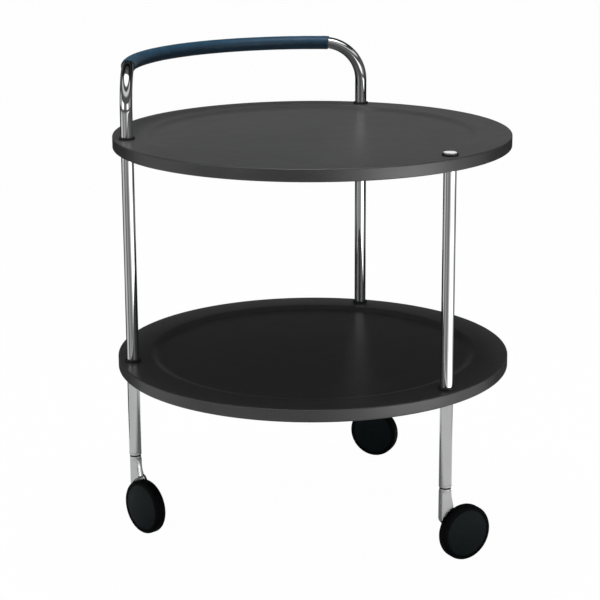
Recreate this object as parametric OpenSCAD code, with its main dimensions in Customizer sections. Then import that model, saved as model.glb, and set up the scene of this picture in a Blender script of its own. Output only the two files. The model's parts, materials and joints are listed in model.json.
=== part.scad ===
// Round serving trolley: two dished trays on three tube legs, with a leather-covered handle and three swivel casters.
// Origin on the floor under the middle of the trays, +Z up, the handle at +Y and the single front leg at -Y.

/* [Trays] */
// Diameter of both trays
tray_d = 580; // [500:5:680]
// Thickness of a tray board
tray_t = 18; // [15:0.5:25]
// Rounding of the tray's top and bottom edge
tray_edge_r = 2; // [0.5:0.5:4]
// Width of the flat rim round the dished middle
rim_w = 45; // [36:1:80]
// Width of the curved step from the rim down to the floor of the dish
dish_step_w = 19; // [12:1:40]
// Depth of the dish below the rim
dish_depth = 5; // [4.5:0.25:7]

/* [Frame] */
// Height of the lower tray's rim above the floor
lower_tray_h = 257; // [200:1:320]
// Clear height between the two trays
tray_gap = 311; // [220:1:420]
// Distance of a leg's axis in from the tray's edge
leg_inset = 19; // [15:0.5:22]
// Outer diameter of the tubes
tube_d = 18; // [16:0.5:22]
// Wall of the tubes
tube_wall = 1.5; // [1:0.1:2]
// Diameter of the black spacer rings
ring_d = 23; // [22:0.5:26]
// Thickness of the black spacer rings
ring_t = 3; // [2:0.25:5]

/* [Handle] */
// Height of the handle's centre line above the upper tray
handle_rise = 97; // [80:1:150]
// Bend radius of the handle, on the centre line
bend_r = 58; // [35:1:70]
// Thickness of the leather on the handle
grip_t = 1.7; // [1:0.1:3]
// Part of each bend that the leather covers, in degrees
grip_turn = 8; // [2:1:25]

/* [Fixings] */
// Diameter of the studs and of the screw's shank
stud_d = 8; // [6:0.5:9]
// Length of the threaded inserts in the tube ends
insert_l = 22; // [18:1:35]
// Length of stud in each insert
stud_grip = 16; // [10:1:17]
// Play of a stud in its hole through a tray, on the radius
stud_play = 0.25; // [0.1:0.05:0.5]
// Diameter of the screw head on the front leg
cap_d = 18; // [14:0.5:21]
// Height of the cylindrical edge of the screw head
cap_edge_h = 1.6; // [0.8:0.1:2]
// Rise of the screw head's dome above its edge
cap_dome_h = 0.8; // [0.6:0.1:3]

/* [Casters] */
// Swivel angles at rest of the front, left and right caster
caster_turn = [-12, -91, -69]; // [-180:1:180]
// Height of the thrust washers' underside above the floor
swivel_h = 110; // [106:1:125]
// Thickness of the thrust washers
washer_t = 2.2; // [1:0.1:4]
// Diameter of the thrust washers
washer_d = 15.6; // [13:0.1:16]
// Diameter of the caster stems
stem_d = 8; // [6:0.5:9]
// Length of stem above the caster body
stem_l = 36; // [28:1:45]
// Length of stem held in the caster body
stem_seat = 14; // [8:1:16]
// Height of the socket's flange below the tube
flange_t = 3.5; // [2:0.25:6]
// Length of the socket in the tube
socket_l = 42; // [34:1:60]
// Height of the narrower neck on top of a caster body
neck_h = 4; // [2:0.5:6]
// How much smaller the neck's radius is
neck_step = 0.6; // [0.2:0.1:1.5]
// Distance of the wheel's axle behind the swivel axis
trail = 30; // [20:1:34]
// Distance of the wheel's middle plane from the swivel axis
wheel_offset = 6.5; // [6:0.25:8]
// Thickness of the flat part of the arm
arm_t = 4.2; // [3:0.1:5]
// Gap between arm and wheel
arm_gap = 0.7; // [0.4:0.1:1]
// Radius of the arm's eye round the axle
eye_r = 11; // [8:0.5:14]
// Height above the axle at which the arm's back edge turns towards the eye
arm_back_rise = 24; // [18:1:30]
// How far above the wheel the arm's front edge turns towards the eye
arm_front_rise = 1; // [0:0.5:4]
// Gap between the tyre and the body's hollow over it
wheel_gap = 3; // [1:0.5:4]
// How far the body widens towards the wheel's side of the swivel axis
flare = 4; // [2:0.5:6]
// Wall between the stem and the body's flat side face
face_wall = 1; // [0.8:0.1:3]

/* [Wheels] */
// Diameter over the tyre
wheel_d = 80; // [70:1:86]
// Width of a wheel
wheel_w = 18; // [16:0.5:20]
// Rounding of the tyre's shoulders
tread_r = 5; // [3:0.5:6]
// Thickness of the tyre, from the core to the tread
tyre_t = 6; // [6:0.5:10]
// Diameter of the axle
axle_d = 8; // [6:0.5:10]
// Diameter of the axle's head
axle_head_d = 14; // [12:0.5:18]
// Thickness of the axle's head
axle_head_t = 2.4; // [1.5:0.1:3]
// Outer radius of the hub
hub_r = 9; // [8:0.5:12]
// Thickness of the wheel's web
web_t = 4; // [3:0.5:5]
// Thickness of the wheel core's rim under the tyre
core_rim_t = 4; // [3:0.5:6]
// Thickness of the wheel cap at its edge
cap_disc_t = 1.2; // [0.8:0.1:2]
// Rise of the wheel cap's dome
cap_disc_dome = 2.4; // [1.5:0.1:4]

/* [Fits] */
// Snug fit of pressed and glued pieces, on the radius
snug = 0.02; // [0.01:0.01:0.04]
// Running fit of stems and axles, on the radius
running = 0.05; // [0.03:0.01:0.1]

/* [Hidden] */
$fn = 96;

// Overshoot of cutting shapes
e = 1;

// Legs: front, left and right, a third of a turn apart
FRONT = 0;
LEFT = 1;
RIGHT = 2;
LEGS = [FRONT, LEFT, RIGHT];
HANDLE_LEGS = [LEFT, RIGHT];
leg_angle = [-90, 150, 30];
tray_r = tray_d / 2;
leg_r = tray_r - leg_inset;
tube_r = tube_d / 2;
bore_r = tube_r - tube_wall;

// Heights of the trays and of what stands on them
lower_top = lower_tray_h;
lower_bottom = lower_top - tray_t;
upper_bottom = lower_top + tray_gap;
upper_top = upper_bottom + tray_t;
handle_z = upper_top + handle_rise;

// Dish: an ogee of two equal arcs between the rim and the floor of the dish
dish_rim_r = tray_r - rim_w;
dish_floor_r = dish_rim_r - dish_step_w;
dish_mid_r = (dish_rim_r + dish_floor_r) / 2;
ogee_r = (dish_step_w * dish_step_w + dish_depth * dish_depth) / (4 * dish_depth);

// Handle: the arc runs round the tray's axis, and each bend stands on its end tangent
arc_r = sqrt(leg_r * leg_r - bend_r * bend_r);
arc_start = leg_angle[RIGHT] + asin(bend_r / leg_r);
band_w = 2;
seam_half_w = 0.02;
seam_turn = atan(seam_half_w / arc_r);

// Caster heights
neck_bottom = swivel_h - neck_h;
socket_bottom = swivel_h + washer_t;
tube_bottom = socket_bottom + flange_t;
axle_z = wheel_d / 2;
eye_centre = [trail, axle_z];
arm_in = wheel_w / 2 - wheel_offset + arm_gap;
face_y = stem_d / 2 + face_wall;
flare_lip = 0.5;
arm_back = [-tube_r - e, axle_z + arm_back_rise];
arm_front = [tube_r + flare + flare_lip, wheel_d + arm_front_rise];

// Spring clip in the socket
clip_h = 1.2;
clip_w = 1.5;
clip_end = 6;
clip_z = swivel_h + stem_l - clip_end;
clip_play = 0.3;
clip_groove_depth = 0.9;
clip_groove_r = stem_d / 2 - clip_groove_depth;

// Wheel, measured from its middle plane, outwards towards the cap
core_r = wheel_d / 2 - tyre_t;
core_inset = 2;
core_half = wheel_w / 2 - core_inset;
head_play = 0.6;
head_seat = core_half - axle_head_t - head_play;
hub_play = 0.3;
hub_out = head_seat - hub_play;
tyre_half = wheel_w / 2;
hub_in = hub_play - tyre_half - arm_gap;
cap_disc_play = 0.3;

// Point at which the tangent from p touches a circle, on its left or right side as seen from p
function touch(p, c, r, side) =
    let (
        d = c - p,
        span = norm(d),
        reach = sqrt(span * span - r * r),
        turn = side * asin(r / span) + atan2(d[1], d[0])
    )
    p + reach * [cos(turn), sin(turn)];

// Place something on the axis of a leg
module on_leg(leg) {
    rotate(leg_angle[leg])
        translate([leg_r, 0, 0])
            children();
}

// Place something in the frame of a caster: stem on Z, the axle behind it at +X, the wheel's cap at -Y
module on_caster(leg) {
    translate([leg_r * cos(leg_angle[leg]), leg_r * sin(leg_angle[leg]), 0])
        rotate(caster_turn[leg])
            children();
}

// Place something on the wheel's axis, with its cap at +Z of the child
module on_wheel(leg) {
    on_caster(leg)
        translate([trail, -wheel_offset, axle_z])
            rotate([90, 0, 0])
                children();
}

// A round bar or bore between two heights
module bar(r, z0, z1) {
    translate([0, 0, z0])
        cylinder(r = r, h = z1 - z0);
}

// A ring between two heights
module ring(r_out, r_in, z0, z1) {
    difference() {
        bar(r_out, z0, z1);
        bar(r_in, z0 - e, z1 + e);
    }
}

// A disc with a straight edge and a domed top, standing at z0
module domed_disc(r, z0, edge_h, dome_h) {
    dome_r = (r * r + dome_h * dome_h) / (2 * dome_h);
    top = edge_h + dome_h;
    translate([0, 0, z0])
        rotate_extrude()
            intersection() {
                square([r, top]);
                translate([0, top - dome_r])
                    circle(r = dome_r, $fn = 360);
            }
}

// Outline of a tray's half section, before the dish is cut
module board_section() {
    inner = tray_r - tray_edge_r;
    square([inner, tray_t]);
    translate([0, tray_edge_r])
        square([tray_r, tray_t - 2 * tray_edge_r]);
    translate([inner, tray_edge_r])
        circle(r = tray_edge_r);
    translate([inner, tray_t - tray_edge_r])
        circle(r = tray_edge_r);
}

// Outline of the dish's half section
module dish_section() {
    floor_z = tray_t - dish_depth;
    half_w = dish_mid_r - dish_floor_r;
    translate([0, floor_z])
        square([dish_floor_r, dish_depth + e]);
    intersection() {
        translate([dish_floor_r - e, floor_z])
            square([half_w + e, dish_depth + e]);
        translate([dish_floor_r, floor_z + ogee_r])
            circle(r = ogee_r);
    }
    difference() {
        translate([dish_mid_r, floor_z])
            square([half_w, dish_depth + e]);
        translate([dish_rim_r, tray_t - ogee_r])
            circle(r = ogee_r);
    }
}

// Round board with a dished top and a stud hole at each leg, its underside at z0
module tray(z0) {
    color([0.11, 0.11, 0.12])
        difference() {
            translate([0, 0, z0])
                rotate_extrude($fn = 180)
                    difference() {
                        board_section();
                        dish_section();
                    }
            for (leg = LEGS)
                on_leg(leg)
                    bar(stud_d / 2 + stud_play, z0 - e, z0 + tray_t + e);
        }
}

// Straight chromed tube on a leg
module leg_tube(leg, z0, z1) {
    color([0.82, 0.83, 0.85])
        on_leg(leg)
            ring(tube_r, bore_r, z0, z1);
}

// Stretches of the handle in the frame of its right half, where the arc ends at X = arc_r
module handle_upright(r) {
    translate([arc_r, -bend_r, 0])
        bar(r, upper_top + ring_t, handle_z - bend_r);
}

// Bend from the end of the arc downwards
module handle_bend(r, turn) {
    translate([arc_r, 0, handle_z - bend_r])
        rotate([180, -90, 0])
            rotate_extrude(angle = turn)
                translate([bend_r, 0])
                    circle(r = r);
}

module handle_arc(r) {
    translate([0, 0, handle_z])
        rotate_extrude(angle = 90 - arc_start - seam_turn)
            translate([arc_r, 0])
                circle(r = r);
}

// Both halves of something drawn in the frame of the right half, joined inside their wall at the middle
module both_halves(r_out, r_in) {
    for (side = [0, 1])
        mirror([side, 0, 0])
            rotate(arc_start)
                children();
    translate([-band_w / 2, arc_r, handle_z])
        rotate([0, 90, 0])
            ring(r_out - (r_out - r_in) / 4, r_in + (r_out - r_in) / 4, 0, band_w);
}

module handle_tube() {
    color([0.82, 0.83, 0.85])
        both_halves(tube_r, bore_r)
            difference() {
                union() {
                    handle_upright(tube_r);
                    handle_bend(tube_r, 90);
                    handle_arc(tube_r);
                }
                handle_upright(bore_r);
                handle_bend(bore_r, 90);
                handle_arc(bore_r);
            }
}

module handle_grip() {
    r_in = tube_r + snug;
    r_out = r_in + grip_t;
    color([0.12, 0.2, 0.27])
        both_halves(r_out, r_in)
            difference() {
                union() {
                    handle_bend(r_out, grip_turn);
                    handle_arc(r_out);
                }
                handle_bend(r_in, grip_turn);
                handle_arc(r_in);
            }
}

module tray_rings(z0) {
    color([0.05, 0.05, 0.05])
        for (leg = LEGS)
            on_leg(leg)
                ring(ring_d / 2, stud_d / 2 + stud_play, z0, z0 + ring_t);
}

// Domed flat-headed screw that closes the front leg
module cap_screw() {
    seat = upper_top + ring_t;
    color([0.85, 0.86, 0.88])
        on_leg(FRONT) {
            bar(stud_d / 2, upper_bottom - stud_grip, seat + cap_edge_h / 2);
            domed_disc(cap_d / 2, seat, cap_edge_h, cap_dome_h);
        }
}

// Threaded insert, its thread drawn as a plain bore
module insert(z0) {
    ring(bore_r - snug, stud_d / 2 + snug, z0, z0 + insert_l);
}

module inserts(legs, z0) {
    color([0.75, 0.7, 0.5])
        for (leg = legs)
            on_leg(leg)
                insert(z0);
}

// Studs between the insert below a tray and the insert above it
module studs(legs, tray_bottom) {
    color([0.6, 0.6, 0.62])
        for (leg = legs)
            on_leg(leg)
                bar(stud_d / 2, tray_bottom - stud_grip, tray_bottom + tray_t + ring_t + stud_grip);
}

// Flanged bush in the foot of a leg, grooved inside for the spring clip
module caster_socket(leg) {
    groove_r = clip_groove_r + clip_w + 2 * clip_play;
    color([0.8, 0.81, 0.83])
        on_caster(leg)
            difference() {
                union() {
                    bar(tube_r, socket_bottom, tube_bottom);
                    bar(bore_r - snug, tube_bottom - e, tube_bottom + socket_l);
                }
                bar(stem_d / 2 + running, socket_bottom - e, tube_bottom + socket_l + e);
                bar(groove_r, clip_z - clip_play, clip_z + clip_h + clip_play);
            }
}

module caster_washer(leg) {
    color([0.04, 0.04, 0.04])
        on_caster(leg)
            ring(washer_d / 2, stem_d / 2 + snug, swivel_h, swivel_h + washer_t);
}

module caster_stem(leg) {
    color([0.6, 0.6, 0.62])
        on_caster(leg)
            difference() {
                bar(stem_d / 2, swivel_h - stem_seat, swivel_h + stem_l);
                ring(stem_d, clip_groove_r, clip_z - clip_play, clip_z + clip_h + clip_play);
            }
}

module caster_clip(leg) {
    r_in = clip_groove_r + clip_play;
    color([0.35, 0.35, 0.37])
        on_caster(leg)
            ring(r_in + clip_w, r_in, clip_z, clip_z + clip_h);
}

// Side outline of the block, in straight lines towards both sides of the eye
module block_outline() {
    polygon([
        [arm_back[0], neck_bottom + e],
        arm_back,
        touch(arm_back, eye_centre, eye_r, -1),
        eye_centre,
        touch(arm_front, eye_centre, eye_r, 1),
        arm_front,
        [arm_front[0], neck_bottom + e]
    ]);
}

// Side outline of the arm, which starts inside the block
module arm_outline() {
    back_touch = touch(arm_back, eye_centre, eye_r, -1);
    way = back_touch - arm_back;
    polygon([
        [0, arm_front[1]],
        arm_back - way * arm_back[0] / way[0],
        back_touch,
        eye_centre,
        touch(arm_front, eye_centre, eye_r, 1),
        arm_front
    ]);
    translate(eye_centre)
        circle(r = eye_r);
}

// A side outline as a plate between two distances from the swivel axis
module side_plate(y0, y1) {
    translate([0, y1, 0])
        rotate([90, 0, 0])
            linear_extrude(height = y1 - y0)
                children();
}

// Round block that widens downwards, with a flat face on the side of the wheel's cap
module caster_block() {
    flare_top = neck_bottom - e;
    intersection() {
        difference() {
            union() {
                bar(tube_r, 0, neck_bottom);
                translate([flare, 0, 0])
                    rotate_extrude()
                        polygon([
                            [0, 0],
                            [tube_r, 0],
                            [tube_r, arm_front[1]],
                            [tube_r - flare - flare_lip, flare_top],
                            [0, flare_top]
                        ]);
            }
            translate([-2 * tube_r, -face_y - 2 * tube_r, -e])
                cube([4 * tube_r, 2 * tube_r, swivel_h]);
        }
        side_plate(-tube_r - e, tube_r + e)
            block_outline();
    }
}

module caster_body(leg) {
    color([0.85, 0.86, 0.88])
        on_caster(leg)
            difference() {
                union() {
                    bar(tube_r - neck_step, neck_bottom - e, swivel_h);
                    caster_block();
                    side_plate(arm_in, arm_in + arm_t)
                        arm_outline();
                }
                bar(stem_d / 2 + snug, swivel_h - stem_seat, swivel_h + e);
                translate([trail, 0, axle_z])
                    rotate([90, 0, 0]) {
                        bar(axle_d / 2 + snug, -tube_r - e, tube_r + e);
                        bar(wheel_d / 2 + wheel_gap, -arm_in, tube_r + e);
                    }
            }
}

module wheel_axle(leg) {
    arm_out = -wheel_offset - arm_in - arm_t;
    color([0.6, 0.6, 0.62])
        on_wheel(leg) {
            bar(axle_d / 2, arm_out, head_seat + axle_head_t / 2);
            bar(axle_head_d / 2, head_seat, head_seat + axle_head_t);
        }
}

// Hub from the arm to the axle's head, web on the arm's side, and rim under the tyre
module wheel_core(leg) {
    color([0.07, 0.075, 0.08])
        on_wheel(leg)
            difference() {
                union() {
                    ring(core_r, core_r - core_rim_t, -core_half, core_half);
                    bar(core_r - core_rim_t / 2, -core_half, web_t - core_half);
                    bar(hub_r, hub_in, hub_out);
                }
                bar(axle_d / 2 + running, hub_in - e, hub_out + e);
            }
}

// Half section of the tyre
module tyre_section() {
    seat_r = core_r + snug;
    shoulder_r = wheel_d / 2 - tread_r;
    shoulder_z = tyre_half - tread_r;
    translate([seat_r, -shoulder_z])
        square([wheel_d / 2 - seat_r, 2 * shoulder_z]);
    intersection() {
        translate([seat_r, -tyre_half])
            square([wheel_d / 2 - seat_r, wheel_w]);
        union() {
            translate([0, -tyre_half])
                square([shoulder_r, wheel_w]);
            for (side = [-1, 1])
                translate([shoulder_r, side * shoulder_z])
                    circle(r = tread_r);
        }
    }
}

module wheel_tyre(leg) {
    color([0.04, 0.04, 0.045])
        on_wheel(leg)
            rotate_extrude()
                tyre_section();
}

// Domed cover disc on the core's rim
module wheel_cap(leg) {
    color([0.1, 0.11, 0.12])
        on_wheel(leg)
            domed_disc(core_r - cap_disc_play, core_half, cap_disc_t, cap_disc_dome);
}

tray(upper_bottom);  // upper_tray
tray(lower_bottom);  // lower_tray
leg_tube(FRONT, tube_bottom, lower_bottom);  // lower_tube_front
leg_tube(LEFT, tube_bottom, lower_bottom);  // lower_tube_left
leg_tube(RIGHT, tube_bottom, lower_bottom);  // lower_tube_right
leg_tube(FRONT, lower_top + ring_t, upper_bottom);  // middle_tube_front
leg_tube(LEFT, lower_top + ring_t, upper_bottom);  // middle_tube_left
leg_tube(RIGHT, lower_top + ring_t, upper_bottom);  // middle_tube_right
handle_tube();
handle_grip();
tray_rings(lower_top);  // lower_tray_rings
tray_rings(upper_top);  // upper_tray_rings
cap_screw();
inserts(LEGS, lower_bottom - insert_l);  // lower_tube_inserts
inserts(LEGS, lower_top + ring_t);  // middle_tube_bottom_inserts
inserts(LEGS, upper_bottom - insert_l);  // middle_tube_top_inserts
inserts(HANDLE_LEGS, upper_top + ring_t);  // handle_tube_inserts
studs(LEGS, lower_bottom);  // lower_tray_studs
studs(HANDLE_LEGS, upper_bottom);  // upper_tray_studs
caster_socket(FRONT);  // caster_socket_front
caster_socket(LEFT);  // caster_socket_left
caster_socket(RIGHT);  // caster_socket_right
caster_washer(FRONT);  // caster_washer_front
caster_washer(LEFT);  // caster_washer_left
caster_washer(RIGHT);  // caster_washer_right
caster_stem(FRONT);  // caster_stem_front
caster_stem(LEFT);  // caster_stem_left
caster_stem(RIGHT);  // caster_stem_right
caster_clip(FRONT);  // caster_clip_front
caster_clip(LEFT);  // caster_clip_left
caster_clip(RIGHT);  // caster_clip_right
caster_body(FRONT);  // caster_body_front
caster_body(LEFT);  // caster_body_left
caster_body(RIGHT);  // caster_body_right
wheel_axle(FRONT);  // wheel_axle_front
wheel_axle(LEFT);  // wheel_axle_left
wheel_axle(RIGHT);  // wheel_axle_right
wheel_core(FRONT);  // wheel_core_front
wheel_core(LEFT);  // wheel_core_left
wheel_core(RIGHT);  // wheel_core_right
wheel_tyre(FRONT);  // wheel_tyre_front
wheel_tyre(LEFT);  // wheel_tyre_left
wheel_tyre(RIGHT);  // wheel_tyre_right
wheel_cap(FRONT);  // wheel_cap_front
wheel_cap(LEFT);  // wheel_cap_left
wheel_cap(RIGHT);  // wheel_cap_right
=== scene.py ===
"""Looks of the round serving trolley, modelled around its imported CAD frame."""
import json
import math

import bmesh
import bpy
import numpy as np
from mathutils import Matrix, Vector, noise


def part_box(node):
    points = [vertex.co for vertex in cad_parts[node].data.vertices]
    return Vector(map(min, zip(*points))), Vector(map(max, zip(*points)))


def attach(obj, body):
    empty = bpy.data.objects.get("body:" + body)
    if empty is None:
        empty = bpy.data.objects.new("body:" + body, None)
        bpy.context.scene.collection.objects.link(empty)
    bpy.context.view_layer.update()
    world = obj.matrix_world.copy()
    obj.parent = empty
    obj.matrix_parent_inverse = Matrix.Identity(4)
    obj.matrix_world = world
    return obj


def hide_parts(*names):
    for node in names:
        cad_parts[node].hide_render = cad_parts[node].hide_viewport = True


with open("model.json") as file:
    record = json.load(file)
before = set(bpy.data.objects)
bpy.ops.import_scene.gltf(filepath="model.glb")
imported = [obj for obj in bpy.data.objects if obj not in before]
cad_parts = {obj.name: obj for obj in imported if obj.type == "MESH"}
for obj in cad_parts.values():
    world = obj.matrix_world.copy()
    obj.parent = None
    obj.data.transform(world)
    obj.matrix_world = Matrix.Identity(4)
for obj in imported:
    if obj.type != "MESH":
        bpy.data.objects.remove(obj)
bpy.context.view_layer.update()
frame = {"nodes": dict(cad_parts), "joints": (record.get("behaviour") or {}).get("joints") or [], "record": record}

scene = bpy.context.scene
MM = 0.001


# Places and sizes read from the frame
LEGS = ("front", "left", "right")
joints = {joint["name"]: joint for joint in frame["joints"]}


def size_of(node):
    """Extents of a node's box."""
    low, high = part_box(node)
    return high - low


leg_place = {leg: Vector(joints["swivel_" + leg]["pos_m"]) for leg in LEGS}
wheel_place = {leg: Vector(joints["roll_" + leg]["pos_m"]) for leg in LEGS}
wheel_axis = {leg: Vector(joints["roll_" + leg]["axis"]).normalized() for leg in LEGS}

tray_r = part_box("upper_tray")[1].x
upper_bottom, upper_top = (corner.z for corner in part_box("upper_tray"))
lower_bottom, lower_top = (corner.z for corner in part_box("lower_tray"))
tube_r = size_of("lower_tube_front").x / 2
leg_r = math.hypot(leg_place["front"].x, leg_place["front"].y)
tube_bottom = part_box("lower_tube_front")[0].z
ring_top = {"lower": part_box("lower_tray_rings")[1].z, "upper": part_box("upper_tray_rings")[1].z}
handle_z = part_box("handle_tube")[1].z - tube_r
arc_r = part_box("handle_tube")[1].y - tube_r
bend_r = math.sqrt(leg_r ** 2 - arc_r ** 2)
swivel_z = leg_place["front"].z
axle_z = wheel_place["front"].z
wheel_r = axle_z

# Sizes that the boxes don't give
TUBE_WALL = 1.5 * MM
TRAY_EDGE_R = 2 * MM
RIM_W = 45 * MM
STEP_W = 19 * MM
DISH_DEPTH = 5 * MM
STUD_D = 8 * MM
STUD_PLAY = 0.25 * MM
SNUG = 0.02 * MM
RUNNING = 0.05 * MM
GRIP_T = 1.7 * MM
GRIP_TURN = 8
GRIP_HEM = 1.2 * MM
RIGHT_LEG_TURN = 30
RING_D = 23 * MM
CAP_D = 18 * MM
CAP_EDGE = 1.6 * MM
CAP_DOME = 0.8 * MM
WHEEL_W = 18 * MM
TREAD_R = 5 * MM
TYRE_T = 6 * MM
AXLE_D = 8 * MM
HUB_R = 9 * MM
WEB_T = 4 * MM
CORE_RIM_T = 4 * MM
CORE_INSET = 2 * MM
CAP_DISC_T = 1.2 * MM
CAP_DISC_DOME = 2.4 * MM
CAP_DISC_PLAY = 0.3 * MM
AXLE_HEAD_T = 2.4 * MM
AXLE_HEAD_PLAY = 0.6 * MM
HUB_PLAY = 0.3 * MM
ARM_T = 4.2 * MM
ARM_GAP = 0.7 * MM
EYE_R = 11 * MM
ARM_BACK_RISE = 24 * MM
ARM_FRONT_RISE = 1 * MM
WHEEL_GAP = 3 * MM
FLARE = 4 * MM
FLARE_LIP = 0.5 * MM
FACE_WALL = 1 * MM
NECK_H = 4 * MM
NECK_STEP = 0.6 * MM
STEM_D = 8 * MM
STEM_SEAT = 14 * MM

# Radii of broken edges, and the angles from which edges of hard and soft pieces are shaded as sharp
FINE_EDGE = 0.3 * MM
TUBE_EDGE = 0.35 * MM
SOFT_EDGE = 0.5 * MM
RING_EDGE = 0.6 * MM
SHARP_ANGLE = 35
SOFT_ANGLE = 60

WHITE = (1, 1, 1, 1)

trail = (wheel_place["front"] - leg_place["front"]).dot(
    Vector((0, 0, 1)).cross(wheel_axis["front"]))
wheel_offset = (wheel_place["front"] - leg_place["front"]).dot(wheel_axis["front"])
core_r = wheel_r - TYRE_T
core_half = WHEEL_W / 2 - CORE_INSET


# Finishes
NOISE_LOW = 0.3
NOISE_HIGH = 0.7


class Finish:
    """Node material whose constant values sit on the Principled sockets."""

    def __init__(self, name, **values):
        self.material = bpy.data.materials.new(name)
        self.material.use_nodes = True
        self.tree = self.material.node_tree
        self.shader = self.tree.nodes["Principled BSDF"]
        for socket, value in values.items():
            self.shader.inputs[socket.replace("_", " ")].default_value = value
        self.place = self.tree.nodes.new("ShaderNodeTexCoord").outputs["Object"]
        self.normal = None

    def node(self, kind, links=None, **values):
        """Shader node with these sources linked in and these constants set."""
        made = self.tree.nodes.new("ShaderNode" + kind)
        for socket, value in values.items():
            made.inputs[socket.replace("_", " ")].default_value = value
        for socket, source in (links or {}).items():
            self.tree.links.new(source, made.inputs[socket])
        return made

    def noise(self, size, detail=3):
        """Noise with features of about this size in metres."""
        made = self.node("TexNoise", {"Vector": self.place}, Scale=1 / size, Detail=detail,
                         Roughness=0.5)
        return made.outputs["Fac"]

    def cell_edges(self, size):
        """Distance to the nearest edge of cells of about this size in metres."""
        made = self.node("TexVoronoi", {"Vector": self.place}, Scale=1 / size)
        made.feature = "DISTANCE_TO_EDGE"
        return made.outputs["Distance"]

    def joined(self, kind, operation, first, second):
        """Two sources joined by a Math or VectorMath node."""
        made = self.node(kind, {0: first, 1: second})
        made.operation = operation
        return made.outputs[0]

    def ramp(self, source, stops):
        """Colours at positions of the source from 0 to 1."""
        made = self.node("ValToRGB", {"Fac": source})
        ramp = made.color_ramp
        for stop, (position, colour) in enumerate(stops):
            if stop < len(ramp.elements):
                ramp.elements[stop].position = position
            else:
                ramp.elements.new(position)
            ramp.elements[stop].color = (*colour, 1)
        return made.outputs["Color"]

    def tones(self, source, dark, light):
        """Ramp from dark to light over the values that noise usually gives."""
        return self.ramp(source, [(NOISE_LOW, dark), (NOISE_HIGH, light)])

    def colour(self, source, dark, light):
        """Base colour from dark to light."""
        self.tree.links.new(self.tones(source, dark, light), self.shader.inputs["Base Color"])

    def rough(self, source, low, high):
        """Roughness from low to high over the values that noise usually gives."""
        stretched = self.node("MapRange", {"Value": source}, From_Min=NOISE_LOW, From_Max=NOISE_HIGH,
                              To_Min=low, To_Max=high)
        self.tree.links.new(stretched.outputs["Result"], self.shader.inputs["Roughness"])

    def bump(self, height, depth, strength):
        """Relief of this depth, over any relief that the finish has already."""
        links = {"Height": height}
        if self.normal:
            links["Normal"] = self.normal
        self.normal = self.node("Bump", links, Distance=depth, Strength=strength).outputs["Normal"]
        self.tree.links.new(self.normal, self.shader.inputs["Normal"])


def lacquer():
    """Satin black lacquer on board: faint clouding and a fine sprayed texture."""
    made = Finish("black_lacquer", IOR=1.58)
    made.colour(made.noise(60 * MM), (0.049, 0.049, 0.05), (0.053, 0.053, 0.054))
    made.rough(made.noise(30 * MM), 0.32, 0.36)
    made.bump(made.noise(1.3 * MM, detail=2), 0.02 * MM, 0.5)
    made.bump(made.noise(14 * MM, detail=1), 0.05 * MM, 0.25)
    return made.material


def chrome(name, low, high):
    """Bright chromium plate with the faint unevenness of polished tube."""
    made = Finish(name, Metallic=1.0)
    made.colour(made.noise(40 * MM), (0.56, 0.565, 0.57), (0.6, 0.605, 0.61))
    made.rough(made.noise(12 * MM), low, high)
    made.bump(made.noise(25 * MM, detail=1), 0.03 * MM, 0.15)
    return made.material


def satin():
    """Satin plate of the cap screw, painted almost white: a painted highlight for the light from above that the
    plated head reflects.
    """
    made = Finish("satin_plate_painted_highlight", Metallic=0.2)
    # Almost white base colour: painted highlight in place of the overhead light that the plated head reflects
    made.colour(made.noise(5 * MM), (0.9, 0.9, 0.91), (0.94, 0.94, 0.95))
    made.rough(made.noise(1.2 * MM), 0.5, 0.58)
    made.bump(made.noise(0.6 * MM, detail=2), 0.01 * MM, 0.3)
    return made.material


def leather():
    """Dyed smooth hide with fine pores and slightly darker creases."""
    made = Finish("blue_leather", Specular_IOR_Level=0.42, Sheen_Weight=0.04, Sheen_Roughness=0.4)
    grain = made.cell_edges(1.1 * MM)
    clouds = made.noise(18 * MM, detail=4)
    tint = made.tones(clouds, (0.016, 0.051, 0.09), (0.024, 0.07, 0.12))
    pores = made.ramp(grain, [(0.0, (0.72, 0.72, 0.72)), (0.18, (1, 1, 1))])
    both = made.joined("VectorMath", "MULTIPLY", tint, pores)
    made.tree.links.new(both, made.shader.inputs["Base Color"])
    made.rough(made.noise(5 * MM), 0.36, 0.5)
    made.bump(grain, 0.12 * MM, 0.5)
    made.bump(made.noise(6 * MM, detail=3), 0.25 * MM, 0.35)
    return made.material


def moulded(name, dark, light, low, high, grain=0.5 * MM, gloss=0.45):
    """Moulded plastic or rubber: slight clouding and a fine spark-eroded grain."""
    made = Finish(name, Specular_IOR_Level=gloss)
    made.colour(made.noise(12 * MM), dark, light)
    made.rough(made.noise(4 * MM), low, high)
    made.bump(made.noise(grain, detail=2), 0.03 * MM, 0.4)
    return made.material


def machined(name, dark, light, low, high):
    """Bare turned metal: faint clouding and fine tool marks."""
    made = Finish(name, Metallic=1.0)
    made.colour(made.noise(6 * MM), dark, light)
    made.rough(made.noise(1.5 * MM), low, high)
    made.bump(made.noise(0.8 * MM, detail=2), 0.02 * MM, 0.3)
    return made.material


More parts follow.
